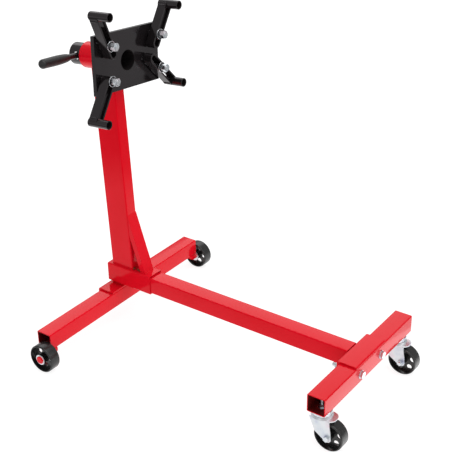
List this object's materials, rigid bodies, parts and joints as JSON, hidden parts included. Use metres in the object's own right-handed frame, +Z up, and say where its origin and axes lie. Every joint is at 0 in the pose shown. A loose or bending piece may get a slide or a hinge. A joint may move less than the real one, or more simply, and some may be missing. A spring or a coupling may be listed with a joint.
{
  "type": "engine stand",
  "caption": "Wheeled T-base workshop stand with a slightly leaning mast, a turning head plate, adjustable slotted arms with end sleeves, a side handle and swivel casters at the front.",
  "frame": {"origin": "on the floor under the middle of the stand's bounding box", "axes": "+Z up, -Y to the front where the engine hangs, -X to the left seen from the front"},
  "size_m": [0.789, 1.0408, 1.0232],
  "materials": {
    "red_paint": "gloss powder coat",
    "black_paint": "satin powder coat",
    "zinc": "bright zinc plate",
    "wheel_plastic": "moulded, slightly glossy",
    "grip_rubber": "soft matte",
    "knob_plastic": "polished",
    "ball_steel": "polished"
  },
  "bodies": {
    "stand": {"rear_crossbeam": "red_paint", "rear_bracket": "red_paint", "mast_foot": "red_paint", "base_sleeve": "red_paint", "main_beam": "red_paint", "beam_bolts": "zinc", "front_bracket": "red_paint", "front_crossbeam": "red_paint", "bracket_bolts": "zinc", "bracket_nuts": "zinc", "mast": "red_paint", "mast_brace": "red_paint", "head_sleeve": "red_paint", "lock_boss": "red_paint", "left_axle_bracket": "red_paint", "left_rear_axle": "red_paint", "left_wheel_washers": "zinc", "left_caster_stem": "zinc", "left_caster_stem_nut": "zinc", "left_caster_cup": "zinc", "right_axle_bracket": "red_paint", "right_rear_axle": "red_paint", "right_wheel_washers": "zinc", "right_caster_stem": "zinc", "right_caster_stem_nut": "zinc", "right_caster_cup": "zinc"},
    "left_rear_wheel": {"left_rear_wheel": "wheel_plastic"},
    "left_caster": {"left_caster_fork": "zinc", "left_caster_balls": "ball_steel", "left_caster_axle": "zinc", "left_caster_axle_nut": "zinc"},
    "left_caster_wheel": {"left_caster_wheel": "wheel_plastic"},
    "right_rear_wheel": {"right_rear_wheel": "wheel_plastic"},
    "right_caster": {"right_caster_fork": "zinc", "right_caster_balls": "ball_steel", "right_caster_axle": "zinc", "right_caster_axle_nut": "zinc"},
    "right_caster_wheel": {"right_caster_wheel": "wheel_plastic"},
    "head": {"spindle_tube": "black_paint", "mounting_plate": "black_paint"},
    "handle": {"handle_bar": "black_paint", "handle_grip": "grip_rubber"},
    "lock": {"lock_pin": "zinc", "lock_knob": "knob_plastic"},
    "upper_left_clamp": {"upper_left_arm_bolt": "zinc", "upper_left_arm_nut": "zinc"},
    "upper_left_arm": {"upper_left_arm": "black_paint", "upper_left_arm_sleeve": "black_paint"},
    "upper_right_clamp": {"upper_right_arm_bolt": "zinc", "upper_right_arm_nut": "zinc"},
    "upper_right_arm": {"upper_right_arm": "black_paint", "upper_right_arm_sleeve": "black_paint"},
    "lower_left_clamp": {"lower_left_arm_bolt": "zinc", "lower_left_arm_nut": "zinc"},
    "lower_left_arm": {"lower_left_arm": "black_paint", "lower_left_arm_sleeve": "black_paint"},
    "lower_right_clamp": {"lower_right_arm_bolt": "zinc", "lower_right_arm_nut": "zinc"},
    "lower_right_arm": {"lower_right_arm": "black_paint", "lower_right_arm_sleeve": "black_paint"}
  },
  "joints": [
    {"name": "left_rear_wheel_spin", "type": "hinge", "parent": "stand", "child": "left_rear_wheel", "pos_m": [-0.371, 0.3876, 0.043], "axis": [1, 0, 0], "continuous": true},
    {"name": "left_caster_swivel", "type": "hinge", "parent": "stand", "child": "left_caster", "pos_m": [-0.206, -0.4494, 0.103], "axis": [0, 0, 1], "continuous": true},
    {"name": "left_caster_wheel_spin", "type": "hinge", "parent": "left_caster", "child": "left_caster_wheel", "pos_m": [-0.206, -0.4774, 0.043], "axis": [1, 0, 0], "continuous": true},
    {"name": "right_rear_wheel_spin", "type": "hinge", "parent": "stand", "child": "right_rear_wheel", "pos_m": [0.371, 0.3876, 0.043], "axis": [1, 0, 0], "continuous": true},
    {"name": "right_caster_swivel", "type": "hinge", "parent": "stand", "child": "right_caster", "pos_m": [0.206, -0.4494, 0.103], "axis": [0, 0, 1], "continuous": true},
    {"name": "right_caster_wheel_spin", "type": "hinge", "parent": "right_caster", "child": "right_caster_wheel", "pos_m": [0.206, -0.4774, 0.043], "axis": [1, 0, 0], "continuous": true},
    {"name": "head_spin", "type": "hinge", "parent": "stand", "child": "head", "pos_m": [0, 0.40539, 0.84414], "axis": [0, -0.9973, 0.0732], "continuous": true},
    {"name": "handle_slide", "type": "slide", "parent": "head", "child": "handle", "axis": [-0.9954, 0.007, 0.0956], "range_m": [-0.03, 0.06]},
    {"name": "lock_pin_pull", "type": "slide", "parent": "stand", "child": "lock", "axis": [1, 0, 0], "range_m": [0, 0.015]},
    {"name": "upper_left_arm_swing", "type": "hinge", "parent": "head", "child": "upper_left_clamp", "pos_m": [-0.09692, 0.33059, 0.91792], "axis": [0, -0.9973, 0.0732], "range_deg": [-20, 35]},
    {"name": "upper_left_arm_reach", "type": "slide", "parent": "upper_left_clamp", "child": "upper_left_arm", "axis": [-0.3107, 0.0696, 0.948], "range_m": [-0.0045, 0.0265]},
    {"name": "upper_right_arm_swing", "type": "hinge", "parent": "head", "child": "upper_right_clamp", "pos_m": [0.10813, 0.32914, 0.89823], "axis": [0, -0.9973, 0.0732], "range_deg": [-35, 20]},
    {"name": "upper_right_arm_reach", "type": "slide", "parent": "upper_right_clamp", "child": "upper_right_arm", "axis": [0.5962, 0.0588, 0.8007], "range_m": [-0.002, 0.029]},
    {"name": "lower_left_arm_swing", "type": "hinge", "parent": "head", "child": "lower_left_clamp", "pos_m": [-0.10797, 0.32371, 0.8243], "axis": [0, -0.9973, 0.0732], "range_deg": [-35, 15]},
    {"name": "lower_left_arm_reach", "type": "slide", "parent": "lower_left_clamp", "child": "lower_left_arm", "axis": [-0.5962, -0.0588, -0.8007], "range_m": [-0.0316, 0]},
    {"name": "lower_right_arm_swing", "type": "hinge", "parent": "head", "child": "lower_right_clamp", "pos_m": [0.10107, 0.32224, 0.80423], "axis": [0, -0.9973, 0.0732], "range_deg": [-15, 35]},
    {"name": "lower_right_arm_reach", "type": "slide", "parent": "lower_right_clamp", "child": "lower_right_arm", "axis": [0.66, -0.055, -0.7492], "range_m": [0, 0.0445]}
  ]
}
